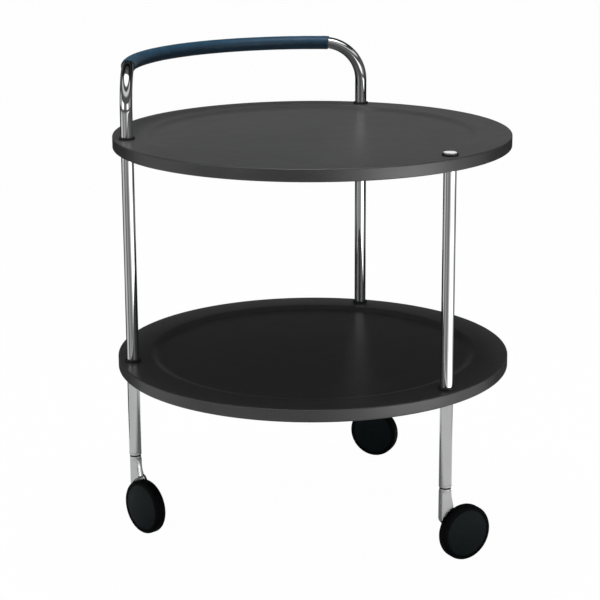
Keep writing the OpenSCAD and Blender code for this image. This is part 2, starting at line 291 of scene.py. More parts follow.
LACQUER = lacquer()
CHROME = chrome("chrome", 0.035, 0.07)
TRIM = chrome("chrome_trim", 0.22, 0.28)
SATIN_PAINTED_HIGHLIGHT = satin()
LEATHER = leather()
THREAD = moulded("waxed_thread", (0.02, 0.04, 0.06), (0.04, 0.07, 0.1), 0.6, 0.75, 0.3 * MM)
SPACER = moulded("spacer_plastic", (0.008, 0.008, 0.009), (0.014, 0.014, 0.015), 0.35, 0.48)
BRASS = machined("insert_brass", (0.62, 0.48, 0.2), (0.74, 0.6, 0.3), 0.25, 0.38)
STEEL = machined("zinc_steel", (0.42, 0.43, 0.45), (0.55, 0.56, 0.58), 0.25, 0.4)
WHEEL = moulded("wheel_plastic", (0.005, 0.0105, 0.012), (0.008, 0.0135, 0.0155), 0.4, 0.5,
                gloss=0.1)
TYRE = moulded("tyre_rubber", (0.0025, 0.003, 0.0035), (0.0045, 0.005, 0.0055), 0.5, 0.65,
               0.7 * MM, gloss=0.05)

SLOT_FINISH = {
    "lacquered_board": LACQUER,
    "chromed_tube": CHROME,
    "chromed_trim": TRIM,
    "leather": LEATHER,
    "spacer_plastic": SPACER,
    "insert_brass": BRASS,
    "zinc_steel": STEEL,
    "wheel_plastic": WHEEL,
    "tyre_rubber": TYRE,
}


# Outlines and meshes
def rounded(corners, steps):
    """Closed outline through (x, y, radius) corners, each rounded by an arc of its radius."""
    outline = []
    count = len(corners)
    for index, (x, y, radius) in enumerate(corners):
        here = Vector((x, y))
        if radius <= 0:
            outline.append(tuple(here))
            continue
        before = (Vector(corners[index - 1][:2]) - here).normalized()
        after = (Vector(corners[(index + 1) % count][:2]) - here).normalized()
        half = before.angle(after) / 2
        centre = here + (before + after).normalized() * radius / math.sin(half)
        first = here + before * radius / math.tan(half) - centre
        last = here + after * radius / math.tan(half) - centre
        turn = first.angle_signed(last)
        for step in range(steps + 1):
            outline.append(tuple(centre + Matrix.Rotation(-turn * step / steps, 2) @ first))
    return outline


def dome(full_r, rise, reach, top, steps):
    """Outline of a dome that rises by this much over its full radius, from the reach to the axis."""
    dome_r = (full_r ** 2 + rise ** 2) / (2 * rise)
    outline = []
    for step in range(1, steps + 1):
        radius = reach * (1 - step / steps)
        outline.append((radius, top - dome_r + math.sqrt(dome_r ** 2 - radius ** 2)))
    return outline


def keep_flat_faces(piece):
    """Shades flat faces as flat, right up to their rounded edges."""
    weighted = piece.modifiers.new("flat_faces_keep_their_normal", "WEIGHTED_NORMAL")
    weighted.keep_sharp = True


def new_object(name, mesh, finish, sharp=SHARP_ANGLE):
    """Object with smooth shading that breaks at edges sharper than this many degrees."""
    piece = bpy.data.objects.new(name, mesh)
    scene.collection.objects.link(piece)
    mesh.materials.clear()
    mesh.materials.append(finish)
    mesh.shade_smooth()
    mesh.set_sharp_from_angle(angle=math.radians(sharp))
    keep_flat_faces(piece)
    return piece


AT_ORIGIN = (Matrix.Identity(4),)


def skin(name, rings, finish, closed=True, places=AT_ORIGIN, sharp=SHARP_ANGLE):
    """Solids covered by rings of points; a ring of one point is a pole, closed joins last to first."""
    points = []
    faces = []
    for place in places:
        starts = []
        for ring in rings:
            starts.append(len(points))
            points.extend(place @ Vector(point) for point in ring)
        pairs = list(zip(range(len(rings)), range(1, len(rings))))
        if closed:
            pairs.append((len(rings) - 1, 0))
        for a, b in pairs:
            count = max(len(rings[a]), len(rings[b]))
            for i in range(count):
                j = (i + 1) % count
                corners = (
                    starts[a] + i % len(rings[a]),
                    starts[a] + j % len(rings[a]),
                    starts[b] + j % len(rings[b]),
                    starts[b] + i % len(rings[b]),
                )
                faces.append(list(dict.fromkeys(corners)))
    mesh = bpy.data.meshes.new(name)
    mesh.from_pydata([tuple(point) for point in points], [], faces)
    shell = bmesh.new()
    shell.from_mesh(mesh)
    bmesh.ops.recalc_face_normals(shell, faces=shell.faces)
    shell.to_mesh(mesh)
    shell.free()
    return new_object(name, mesh, finish, sharp)


ON_AXIS = 1e-7


def circle(radius, height, count):
    """Ring of points round Z, or a single point where the radius is nothing."""
    if radius < ON_AXIS:
        return [(0, 0, height)]
    return [
        (radius * math.cos(math.tau * i / count), radius * math.sin(math.tau * i / count), height)
        for i in range(count)
    ]


def lathe(name, outline, finish, places=AT_ORIGIN, count=96, closed=True):
    """Bodies of revolution about Z from an outline of (radius, height) points."""
    rings = [circle(radius, height, count) for radius, height in outline]
    return skin(name, rings, finish, closed=closed, places=places)


def baked(piece):
    """The piece with its modifiers applied."""
    graph = bpy.context.evaluated_depsgraph_get()
    mesh = bpy.data.meshes.new_from_object(piece.evaluated_get(graph))
    piece.modifiers.clear()
    piece.data = mesh
    return piece


def drilled(piece, cutter):
    """Cuts the cutter out of the piece and deletes it."""
    piece.modifiers.clear()
    cut = piece.modifiers.new("holes", "BOOLEAN")
    cut.operation = "DIFFERENCE"
    cut.solver = "EXACT"
    cut.object = cutter
    baked(piece)
    bpy.data.objects.remove(cutter)
    piece.data.set_sharp_from_angle(angle=math.radians(SHARP_ANGLE))
    keep_flat_faces(piece)


def belongs(piece, body, slot, *nodes):
    """The piece rides on a body and stands for these CAD nodes, which it hides; the slot is not used."""
    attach(piece, body)
    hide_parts(*nodes)


def on_leg(leg):
    """Frame of a leg: its middle line on Z, its foot on the floor."""
    return Matrix.Translation((leg_place[leg].x, leg_place[leg].y, 0))


# Trays
def tray(name, bottom, top):
    """Round board with a dished top: an ogee of two equal arcs from the rim to the floor."""
    rim_r = tray_r - RIM_W
    floor_r = rim_r - STEP_W
    floor = top - DISH_DEPTH
    ogee_r = (STEP_W ** 2 + DISH_DEPTH ** 2) / (4 * DISH_DEPTH)
    turn = math.asin(STEP_W / 2 / ogee_r)
    steps = 8
    outline = [(0, bottom)]
    outline += rounded([
        (0, bottom, 0),
        (tray_r, bottom, TRAY_EDGE_R),
        (tray_r, top, TRAY_EDGE_R),
        (rim_r, top, 0),
    ], 6)[1:]
    for step in range(1, steps + 1):
        angle = turn * step / steps
        outline.append((rim_r - ogee_r * math.sin(angle), top - ogee_r * (1 - math.cos(angle))))
    for step in range(steps - 1, -1, -1):
        angle = turn * step / steps
        outline.append((floor_r + ogee_r * math.sin(angle), floor + ogee_r * (1 - math.cos(angle))))
    outline.append((0, floor))
    board = lathe(name + "_board", outline, LACQUER, count=240, closed=False)
    margin = 5 * MM
    hole = [
        (0, bottom - margin),
        (STUD_D / 2 + STUD_PLAY, bottom - margin),
        (STUD_D / 2 + STUD_PLAY, top + margin),
        (0, top + margin),
    ]
    cutter = lathe("holes", hole, LACQUER, [on_leg(leg) for leg in LEGS], count=32, closed=False)
    drilled(board, cutter)
    belongs(board, "frame", "lacquered_board", name)


def ring_outline(inner, outer, low, high, edge):
    """Half section of a ring with rounded edges."""
    return rounded([
        (inner, low, edge),
        (outer, low, edge),
        (outer, high, edge),
        (inner, high, edge),
    ], 4)


def spacer_rings(node, low, high):
    """Three rings that lift the tubes off a tray."""
    outline = ring_outline(STUD_D / 2 + STUD_PLAY, RING_D / 2, low, high, RING_EDGE)
    rings = lathe(node + "_turned", outline, SPACER, [on_leg(leg) for leg in LEGS])
    belongs(rings, "frame", "spacer_plastic", node)


# Tubes
def leg_tube(node, leg):
    """Straight tube of a leg."""
    low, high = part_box(node)
    outline = ring_outline(tube_r - TUBE_WALL, tube_r, low.z, high.z, TUBE_EDGE)
    tube = lathe(node + "_drawn", outline, CHROME, [on_leg(leg)])
    belongs(tube, "frame", "chromed_tube", node)


def handle_path():
    """Points and directions along the handle, from the right foot over the arc to the left foot."""
    start = math.radians(RIGHT_LEG_TURN) + math.asin(bend_r / leg_r)
    swing = Matrix.Rotation(start, 4, "Z")
    half = []
    bend_steps = 28
    arc_steps = 48
    foot = ring_top["upper"]
    below_bend = 2 * MM
    for height in (foot, foot + FINE_EDGE, handle_z - bend_r - below_bend):
        half.append((swing @ Vector((arc_r, -bend_r, height)), Vector((0, 0, 1))))
    for step in range(bend_steps):
        angle = math.pi / 2 * step / bend_steps
        place = Vector((arc_r, -bend_r * math.cos(angle), handle_z - bend_r * (1 - math.sin(angle))))
        half.append((swing @ place, swing @ Vector((0, math.sin(angle), math.cos(angle)))))
    for step in range(arc_steps):
        angle = start + (math.pi / 2 - start) * step / arc_steps
        place = Vector((arc_r * math.cos(angle), arc_r * math.sin(angle), handle_z))
        half.append((place, Vector((-math.sin(angle), math.cos(angle), 0))))
    middle = [(Vector((0, arc_r, handle_z)), Vector((-1, 0, 0)))]
    flip = Matrix.Diagonal((-1, 1, 1)).to_4x4()
    other = [(flip @ place, -(flip @ way)) for place, way in reversed(half)]
    return half + middle + other


def framed(path):
    """Each point of the path with its direction and two directions square to it, hardly turning."""
    out = path[0][1].orthogonal().normalized()
    rows = []
    for place, way in path:
        out = (out - way * out.dot(way)).normalized()
        rows.append((place, way, out, way.cross(out)))
    return rows


def hoop(row, radius, count):
    """Ring of points round a place of the path; radius is a number or a function of the angle."""
    place, _, out, side = row
    points = []
    for i in range(count):
        angle = math.tau * i / count
        reach = radius(angle) if callable(radius) else radius
        points.append(place + (out * math.cos(angle) + side * math.sin(angle)) * reach)
    return points


def handle_tube():
    """Bent tube of the handle, chamfered at its feet."""
    rows = framed(handle_path())
    count = 64
    bore = tube_r - TUBE_WALL
    rings = [hoop(rows[0], tube_r - FINE_EDGE, count)]
    rings += [hoop(row, tube_r, count) for row in rows[1:-1]]
    rings += [hoop(rows[-1], tube_r - FINE_EDGE, count)]
    rings += [hoop(row, bore, count) for row in reversed(rows)]
    tube = skin("handle_tube_bent", rings, CHROME)
    belongs(tube, "frame", "chromed_tube", "handle_tube")


def sleeve_rows():
    """Rows of the handle's path under the leather sleeve, and the length of the path up to each."""
    lowest = handle_z - bend_r * (1 - math.cos(math.radians(GRIP_TURN)))
    slack = 0.01 * MM
    rows = framed([row for row in handle_path() if row[0].z > lowest - slack])
    lengths = [0.0]
    for a, b in zip(rows, rows[1:]):
        lengths.append(lengths[-1] + (b[0] - a[0]).length)
    return rows, lengths


def row_at(rows, lengths, along):
    """Row at this length of the path, between the rows on either side of it."""
    index = max(i for i, length in enumerate(lengths) if length <= along + 1e-9)
    index = min(index, len(rows) - 2)
    share = (along - lengths[index]) / (lengths[index + 1] - lengths[index])
    mixed = [a.lerp(b, share) for a, b in zip(rows[index], rows[index + 1])]
    way = mixed[1].normalized()
    out = (mixed[2] - way * mixed[2].dot(way)).normalized()
    return mixed[0], way, out, way.cross(out)


def seam_angle(row):
    """Angle of the seam: under the tube, turned a little towards the trays' middle."""
    inward = 0.35
    place, _, out, side = row
    down = Vector((0, 0, -1)) - Vector((place.x, place.y, 0)).normalized() * inward
    return math.atan2(down.dot(side), down.dot(out))


def leather_reach(row, end):
    """Radius of the leather by the angle, in a row that lies this far from the nearer end."""
    inner = tube_r + SNUG
    outer = inner + GRIP_T
    # The hide lies a little inside its CAD skin, so that what swells stays within it
    ease = 0.26 * MM
    # Its ends turn in to a thin lip
    lip_t = 0.5 * MM
    lip_turn = 0.9
    # The seam is a groove between two low swells
    seam_half_w = 0.9 * MM
    seam_depth = 0.55 * MM
    swell = 0.12 * MM
    swell_off = 2.4 * MM
    swell_w = 1.2 * MM
    # Slack all along, and finer folds that fade away from the ends
    slack = 0.10 * MM
    slack_scale = 90
    fold = 0.14 * MM
    fold_scale = 260
    fold_end = 28 * MM
    lip = max(0.0, 1 - end / GRIP_HEM)
    seam = seam_angle(row)

    def radius(angle):
        off = (angle - seam + math.pi) % math.tau - math.pi
        across = abs(off) * outer
        spot = row[0] + (row[2] * math.cos(angle) + row[3] * math.sin(angle)) * outer
        body = outer - ease
        body -= seam_depth * math.exp(-(across / seam_half_w) ** 2)
        body += swell * math.exp(-((across - swell_off) / swell_w) ** 2)
        body += slack * noise.noise(spot * slack_scale)
        body += fold * noise.noise(spot * fold_scale) * math.exp(-end / fold_end)
        return body - (body - inner - lip_t) * (1 - math.sqrt(1 - lip * lip)) * lip_turn

    return radius


def handle_grip(rows, lengths):
    """Leather sleeve over the arc, with hemmed ends and a seam along its underside."""
    total = lengths[-1]
    count = 96
    pitch = 1.6 * MM
    hem_steps = 5
    inside_every = 6
    steps = int(total / pitch)
    fine = [GRIP_HEM * (1 - math.cos(math.pi / 2 * i / hem_steps)) for i in range(hem_steps)]
    spots = fine + [GRIP_HEM + (total - 2 * GRIP_HEM) * i / steps for i in range(steps + 1)]
    spots += [total - s for s in reversed(fine)]
    placed = [row_at(rows, lengths, s) for s in spots]
    rings = [
        hoop(row, leather_reach(row, min(s, total - s)), count) for row, s in zip(placed, spots)
    ]
    inside = reversed(placed[::inside_every] + placed[-1:])
    rings += [hoop(row, tube_r + SNUG, count) for row in inside]
    grip = skin("handle_leather", rings, LEATHER, sharp=SOFT_ANGLE)
    belongs(grip, "frame", "leather", "handle_grip")


def handle_stitches(rows, lengths):
    """Row of short slanted stitches that cross the seam of the sleeve, each a bowed thread."""
    outer = tube_r + SNUG + GRIP_T
    pitch = 4.2 * MM
    half = 1.5 * MM
    slant = 0.35
    bow = 0.25 * MM
    depth = 0.45 * MM
    thread_r = 0.32 * MM
    taper = 0.97
    thinnest = 0.05
    dip = 0.33
    margin = 5 * MM
    sides = 6
    spans = 6
    points = []
    faces = []
    for i in range(int((lengths[-1] - 2 * margin) / pitch)):
        row = row_at(rows, lengths, margin + (i + 0.5) * pitch)
        place, way, out, side = row
        seam = seam_angle(row)
        normal = out * math.cos(seam) + side * math.sin(seam)
        across = way.cross(normal) + way * slant
        for step in range(spans + 1):
            share = 2 * step / spans - 1
            rise = outer - depth + (1 - share * share) * bow
            spot = place + normal * rise + across * half * share
            size = thread_r * math.sqrt(max(thinnest, 1 - (share * taper) ** 6))
            ahead = (across - normal * share * dip).normalized()
            up = (normal - ahead * normal.dot(ahead)).normalized()
            cross = ahead.cross(up)
            for k in range(sides):
                angle = math.tau * k / sides
                points.append(spot + (up * math.cos(angle) + cross * math.sin(angle)) * size)
        base = i * (spans + 1) * sides
        for step in range(spans):
            for k in range(sides):
                a = base + step * sides + k
                b = base + step * sides + (k + 1) % sides
                faces.append((a, b, b + sides, a + sides))
        faces.append(tuple(base + k for k in reversed(range(sides))))
        faces.append(tuple(base + spans * sides + k for k in range(sides)))
    mesh = bpy.data.meshes.new("handle_stitches")
    mesh.from_pydata([tuple(point) for point in points], [], faces)
    stitches = new_object("handle_stitches", mesh, THREAD, SOFT_ANGLE)
    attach(stitches, "frame")


def cap_screw():
    """Flat domed screw that closes the front leg."""
    seat = ring_top["upper"]
    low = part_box("cap_screw")[0].z
    head_r = CAP_D / 2
    shank = STUD_D / 2
    tip = 0.6 * MM
    seat_in = 2 * MM
    seat_edge = 0.25 * MM
    bevel_w = 3 * MM
    bevel_rise = 0.4 * MM
    dome_start = 0.955
    outline = [(0, low), (shank - tip, low), (shank, low + tip), (shank, seat)]
    outline += rounded([
        (head_r - seat_in, seat, 0),
        (head_r, seat, seat_edge),
        (head_r, seat + CAP_EDGE, FINE_EDGE),
        (head_r - bevel_w, seat + CAP_EDGE + bevel_rise, 0),
    ], 4)[:-1]
    outline += dome(head_r, CAP_DOME, head_r * dome_start, seat + CAP_EDGE + CAP_DOME, 12)
    # The head's finish is painted almost white, a painted highlight on the plated top
    screw = lathe("cap_screw_turned", outline, SATIN_PAINTED_HIGHLIGHT, [on_leg("front")], closed=False)
    belongs(screw, "frame", "chromed_trim", "cap_screw")


# Casters
def on_caster(leg):
    """Frame of a caster: stem on Z, the axle behind it at +X, the wheel's cap at -Y."""
    y = -wheel_axis[leg]
    x = y.cross(Vector((0, 0, 1)))
    turn = Matrix((x, y, Vector((0, 0, 1)))).transposed().to_4x4()
    return on_leg(leg) @ turn


def on_wheel(leg):
    """Frame of a wheel: its middle at the origin, its cap at +Z."""
    z = wheel_axis[leg]
    x = Vector((0, 0, 1))
    y = z.cross(x)
    turn = Matrix((x, y, z)).transposed().to_4x4()
    return Matrix.Translation(wheel_place[leg]) @ turn


def smooth_min(a, b, k):
    """Union of two distance fields with a fillet of about k."""
    h = np.clip(0.5 + 0.5 * (b - a) / k, 0, 1)
    return b * (1 - h) + a * h - k * h * (1 - h)


def smooth_max(a, b, k):
    """Intersection of two distance fields with an edge rounded by about k."""
    return -smooth_min(-a, -b, k)


def line_side(x, z, start, end):
    """Distance to the left of the line from start to end."""
    dx = end[0] - start[0]
    dz = end[1] - start[1]
    return (dx * (z - start[1]) - dz * (x - start[0])) / math.hypot(dx, dz)


def touch(point, centre, radius, side):
    """Point at which the tangent from a point touches a circle, on its left or right side."""
    dx = centre[0] - point[0]
    dz = centre[1] - point[1]
    span = math.hypot(dx, dz)
    length = math.sqrt(span ** 2 - radius ** 2)
    turn = side * math.asin(radius / span) + math.atan2(dz, dx)
    return point[0] + length * math.cos(turn), point[1] + length * math.sin(turn)


def body_field(points):
    """Distance field of a cast caster body in the caster's frame, its edges and corners filleted."""
    x, y, z = points.T
    edge = 0.6 * MM
    fine_edge = 0.3 * MM
    tight = 0.2 * MM
    fillet = 1.5 * MM
    eye_fillet = 1 * MM
    back_edge = 3 * MM
    top_edge = 2 * MM
    overlap = 1 * MM
    radial = np.hypot(x, y)
    cylinder = radial - tube_r
    neck_bottom = swivel_z - NECK_H
    arm_in = WHEEL_W / 2 - wheel_offset + ARM_GAP
    back = (-tube_r - overlap, axle_z + ARM_BACK_RISE)
    front = (tube_r + FLARE + FLARE_LIP, 2 * wheel_r + ARM_FRONT_RISE)
    eye = (trail, axle_z)
    back_touch = touch(back, eye, EYE_R, -1)
    front_touch = touch(front, eye, EYE_R, 1)
    behind = -line_side(x, z, back, back_touch)
    ahead = line_side(x, z, front, front_touch)
    below = -line_side(x, z, back_touch, front_touch)

    # Block: a cylinder and a cone that widens it downwards, with a flat face on the cap's side
    widening = (FLARE + FLARE_LIP) / (neck_bottom - overlap - front[1])
    cone_r = tube_r - np.maximum(z - front[1], 0) * widening
    cone = np.hypot(x - FLARE, y) - cone_r
    block = smooth_min(cylinder, cone, fillet)
    block = smooth_max(block, -STEM_D / 2 - FACE_WALL - y, edge)
    block = smooth_max(block, z - neck_bottom, edge)
    block = smooth_max(block, behind, back_edge)

    # Arm with its eye
    blade = smooth_max(smooth_max(behind, ahead, edge), below, edge)
    blade = smooth_max(smooth_max(blade, z - front[1], top_edge), -x, edge)
    eye_disc = np.hypot(x - eye[0], z - eye[1]) - EYE_R
    outline = smooth_min(blade, eye_disc, eye_fillet)
    thick = np.abs(y - arm_in - ARM_T / 2) - ARM_T / 2
    arm = smooth_max(thick, outline, edge)

    # Hollow over the wheel
    over_wheel = np.hypot(x - eye[0], z - eye[1]) - wheel_r - WHEEL_GAP
    hollow = smooth_max(over_wheel, y - arm_in, fine_edge)
    solid = smooth_max(smooth_min(block, arm, fillet), -hollow, edge)

    # Neck on top, and the bores for stem and axle
    neck = smooth_max(radial - tube_r + NECK_STEP, z - swivel_z, edge)
    neck = smooth_max(neck, neck_bottom - overlap - z, fine_edge)
    solid = smooth_min(solid, neck, tight)
    stem = smooth_max(radial - STEM_D / 2 - SNUG, swivel_z - STEM_SEAT - z, tight)
    axle = np.hypot(x - trail, z - axle_z) - AXLE_D / 2 - SNUG
    return smooth_max(smooth_max(solid, -stem, fine_edge), -axle, fine_edge)


def gradient(points):
    """Direction in which the field grows, at unit length."""
    step = 0.02 * MM
    slope = np.empty_like(points)
    for axis in range(3):
        shift = np.zeros(3)
        shift[axis] = step
        slope[:, axis] = (body_field(points + shift) - body_field(points - shift)) / (2 * step)
    length = np.linalg.norm(slope, axis=1, keepdims=True)
    return slope / np.maximum(length, 1e-6)


def caster_body_mesh():
    """The front CAD body in the caster's frame, drawn onto the filleted field, with its normals."""
    same_point = 0.002 * MM
    voxel = 0.5 * MM
    rounds = 6
    longest_move = 0.3 * MM
    source = bpy.data.objects.new("casting", frame["nodes"]["caster_body_front"].data.copy())
    scene.collection.objects.link(source)
    source.data.transform(on_caster("front").inverted())
    shell = bmesh.new()
    shell.from_mesh(source.data)
    bmesh.ops.remove_doubles(shell, verts=shell.verts, dist=same_point)
    shell.to_mesh(source.data)
    shell.free()
    even = source.modifiers.new("even", "REMESH")
    even.mode = "VOXEL"
    even.voxel_size = voxel
    baked(source)
    mesh = source.data
    bpy.data.objects.remove(source)
    points = np.empty(len(mesh.vertices) * 3)
    mesh.vertices.foreach_get("co", points)
    points = points.reshape(-1, 3)
    for _ in range(rounds):
        move = np.clip(body_field(points), -longest_move, longest_move)
        points -= gradient(points) * move[:, None]
    mesh.vertices.foreach_set("co", points.ravel())
    mesh.update()
    return mesh, gradient(points)


def caster_bodies():
    """The three cast bodies, each a copy of the same mesh turned to its leg."""
    mesh, normals = caster_body_mesh()
    for leg in LEGS:
        copy = mesh.copy()
        body = bpy.data.objects.new("caster_casting_" + leg, copy)
        scene.collection.objects.link(body)
        copy.materials.clear()
        copy.materials.append(TRIM)
        place = on_caster(leg)
        copy.transform(place)
        copy.shade_smooth()
        turn = np.array(place.to_3x3())
        copy.normals_split_custom_set_from_vertices((normals @ turn.T).tolist())
        belongs(body, "caster_" + leg, "chromed_trim", "caster_body_" + leg)


def caster_socket(leg):
    """Flanged bush in the foot of the leg."""
    node = "caster_socket_" + leg
    low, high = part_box(node)
    bore = STEM_D / 2 + RUNNING
    seat = tube_r - TUBE_WALL - SNUG
    groove_r = 5.2 * MM
    groove_z = swivel_z + 30 * MM
    groove_h = 0.9 * MM
    bore_edge = 0.4 * MM
    lead_in = 1 * MM
    outline = rounded([
        (bore, low.z, bore_edge),
        (tube_r, low.z, SOFT_EDGE),
        (tube_r, tube_bottom, FINE_EDGE),
        (seat, tube_bottom, 0),
        (seat, high.z, lead_in),
        (bore, high.z, bore_edge),
        (bore, groove_z + groove_h, 0),
        (groove_r, groove_z + groove_h, 0),
        (groove_r, groove_z - groove_h, 0),
        (bore, groove_z - groove_h, 0),
    ], 3)
    socket = lathe(node + "_turned", outline, TRIM, [on_leg(leg)])
    belongs(socket, "frame", "chromed_trim", node)


def caster_washer(leg):
    """Thrust washer, a hair clear of the socket that it turns under."""
    node = "caster_washer_" + leg
    low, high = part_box(node)
    outer = size_of(node).x / 2
    clear = 0.05 * MM
    outline = ring_outline(STEM_D / 2 + SNUG, outer, low.z, high.z - clear, TUBE_EDGE)
    washer = lathe(node + "_moulded", outline, SPACER, [on_leg(leg)])
    belongs(washer, "caster_" + leg, "spacer_plastic", node)


# Wheels, turned about the wheel's own axis
def wheel_tyre(leg):
    """Plain tyre with a rounded tread."""
    half = WHEEL_W / 2
    seat = core_r + SNUG
    outline = rounded([
        (seat, -half, SOFT_EDGE),
        (wheel_r, -half, TREAD_R),
        (wheel_r, half, TREAD_R),
        (seat, half, SOFT_EDGE),
    ], 12)
    tyre = lathe("tyre_rounded_" + leg, outline, TYRE, [on_wheel(leg)], count=128)
    belongs(tyre, "wheel_" + leg, "tyre_rubber", "wheel_tyre_" + leg)


def wheel_core(leg):
    """Rim, web on the arm's side and hub."""
    bore = AXLE_D / 2 + RUNNING
    rim_in = core_r - CORE_RIM_T
    web_top = WEB_T - core_half
    hub_in = HUB_PLAY - WHEEL_W / 2 - ARM_GAP
    hub_out = core_half - AXLE_HEAD_T - AXLE_HEAD_PLAY - HUB_PLAY
    fillet = 1 * MM
    outline = rounded([
        (bore, hub_in, FINE_EDGE),
        (HUB_R, hub_in, SOFT_EDGE),
        (HUB_R, -core_half, fillet),
        (core_r, -core_half, SOFT_EDGE),
        (core_r, core_half, FINE_EDGE),
        (rim_in, core_half, FINE_EDGE),
        (rim_in, web_top, fillet),
        (HUB_R, web_top, fillet),
        (HUB_R, hub_out, SOFT_EDGE),
        (bore, hub_out, FINE_EDGE),
    ], 4)
    core = lathe("wheel_moulding_" + leg, outline, WHEEL, [on_wheel(leg)], count=128)
    belongs(core, "wheel_" + leg, "wheel_plastic", "wheel_core_" + leg)


def wheel_cap(leg):
    """Shallow domed cover disc with a raised bead along its edge."""
    radius = core_r - CAP_DISC_PLAY
    low = core_half
    edge_top = low + CAP_DISC_T
    bead_w = 2 * MM
    bead_rise = 0.28 * MM
    dome_inset = 1.5 * MM
    outline = [(0, low), (radius - FINE_EDGE, low), (radius, low + FINE_EDGE)]
    outline += rounded([
        (radius, low, 0),
        (radius, edge_top, SOFT_EDGE),
        (radius - bead_w, edge_top + bead_rise, 0),
    ], 5)[1:-1]
    outline += dome(radius, CAP_DISC_DOME, radius - dome_inset, edge_top + CAP_DISC_DOME, 20)
    cap = lathe("wheel_disc_" + leg, outline, WHEEL, [on_wheel(leg)], count=128, closed=False)
    belongs(cap, "wheel_" + leg, "wheel_plastic", "wheel_cap_" + leg)


# Build
tray("upper_tray", upper_bottom, upper_top)
tray("lower_tray", lower_bottom, lower_top)
spacer_rings("upper_tray_rings", upper_top, ring_top["upper"])
spacer_rings("lower_tray_rings", lower_top, ring_top["lower"])
for leg in LEGS:
    leg_tube("lower_tube_" + leg, leg)
    leg_tube("middle_tube_" + leg, leg)
    caster_socket(leg)
    caster_washer(leg)
    wheel_tyre(leg)
    wheel_core(leg)
    wheel_cap(leg)
handle_tube()
sleeve = sleeve_rows()
handle_grip(*sleeve)
handle_stitches(*sleeve)
cap_screw()
caster_bodies()

# CAD nodes that stay keep their mesh and take the finish of their material slot
for subpart in frame["record"]["subparts"]:
    piece = frame["nodes"][subpart["node"]]
    piece.data.materials.clear()
    piece.data.materials.append(SLOT_FINISH[subpart["material_slot"]])


# Camera, at the photograph's viewing angle
CAMERA_TURN = 43.02
CAMERA_ACROSS = -0.014
CAMERA_BACK = 2.5515
CAMERA_HEIGHT = 1.0251
CAMERA_YAW = -0.10
CAMERA_PITCH = 13.47
CAMERA_ROLL = -0.261
CAMERA_LENS = 106.44
CAMERA_SENSOR = 36
CAMERA_SHIFT = -0.09
CAMERA_FAR = 100

turned = Matrix.Rotation(math.radians(-CAMERA_TURN), 4, "Z")
stand = Matrix.Translation((CAMERA_ACROSS, -CAMERA_BACK, CAMERA_HEIGHT))
yaw = Matrix.Rotation(math.radians(-CAMERA_YAW), 4, "Z")
pitch = Matrix.Rotation(math.radians(90 - CAMERA_PITCH), 4, "X")
roll = Matrix.Rotation(math.radians(CAMERA_ROLL), 4, "Z")
camera = bpy.data.objects.new("camera", bpy.data.cameras.new("camera"))
scene.collection.objects.link(camera)
camera.matrix_world = turned @ stand @ yaw @ pitch @ roll
camera.data.lens = CAMERA_LENS
camera.data.sensor_width = CAMERA_SENSOR
camera.data.shift_y = CAMERA_SHIFT
camera.data.clip_end = CAMERA_FAR
scene.camera = camera
camera_place = camera.matrix_world.translation
toward_camera = math.degrees(math.atan2(camera_place.y, camera_place.x))


# Studio
def seen_rays(tree):
    """The light path, and 1 for camera, glossy and transmission rays, which see the backdrop itself."""
    path = tree.nodes.new("ShaderNodeLightPath")
    most = path.outputs["Is Camera Ray"]
    for other in ("Is Glossy Ray", "Is Transmission Ray"):
        join = tree.nodes.new("ShaderNodeMath")
        join.operation = "MAXIMUM"
        tree.links.new(most, join.inputs[0])
        tree.links.new(path.outputs[other], join.inputs[1])
        most = join.outputs[0]
    return path, most


def backdrop():
    """World that is white to look at, but sheds only a little light."""
    ambient = 0.06
    world = bpy.data.worlds.new("studio")
    scene.world = world
    world.use_nodes = True
    sky = world.node_tree
    sky.nodes.clear()
    mix = sky.nodes.new("ShaderNodeMixShader")
    out = sky.nodes.new("ShaderNodeOutputWorld")
    sky.links.new(seen_rays(sky)[1], mix.inputs[0])
    for socket, strength in ((1, ambient), (2, 1)):
        light = sky.nodes.new("ShaderNodeBackground")
        light.inputs["Color"].default_value = WHITE
        light.inputs["Strength"].default_value = strength
        sky.links.new(light.outputs[0], mix.inputs[socket])
    sky.links.new(mix.outputs[0], out.inputs[0])


def floor():
    """Pale floor: almost white to the camera, with a little of its own shading, so its shadow stays."""
    white_share = 0.985
    glossy_share = 0.12
    grey = 0.82
    half = 30
    mesh = bpy.data.meshes.new("floor")
    corners = [(-half, -half, 0), (half, -half, 0), (half, half, 0), (-half, half, 0)]
    mesh.from_pydata(corners, [], [(0, 1, 2, 3)])
    plane = bpy.data.objects.new("floor", mesh)
    scene.collection.objects.link(plane)
    paint = bpy.data.materials.new("floor")
    paint.use_nodes = True
    tree = paint.node_tree
    tree.nodes.clear()
    matt = tree.nodes.new("ShaderNodeBsdfDiffuse")
    matt.inputs["Color"].default_value = (grey, grey, grey, 1)
    glow = tree.nodes.new("ShaderNodeEmission")
    glow.inputs["Color"].default_value = WHITE
    # Camera rays see almost only white, glossy and transmission rays a little of it
    path, seen = seen_rays(tree)
    camera_part = tree.nodes.new("ShaderNodeMath")
    camera_part.operation = "MULTIPLY_ADD"
    camera_part.inputs[1].default_value = white_share - glossy_share
    seen_part = tree.nodes.new("ShaderNodeMath")
    seen_part.operation = "MULTIPLY"
    seen_part.inputs[1].default_value = glossy_share
    tree.links.new(seen, seen_part.inputs[0])
    tree.links.new(path.outputs["Is Camera Ray"], camera_part.inputs[0])
    tree.links.new(seen_part.outputs[0], camera_part.inputs[2])
    mix = tree.nodes.new("ShaderNodeMixShader")
    out = tree.nodes.new("ShaderNodeOutputMaterial")
    tree.links.new(camera_part.outputs[0], mix.inputs[0])
    tree.links.new(matt.outputs[0], mix.inputs[1])
    tree.links.new(glow.outputs[0], mix.inputs[2])
    tree.links.new(mix.outputs[0], out.inputs[0])
    mesh.materials.append(paint)


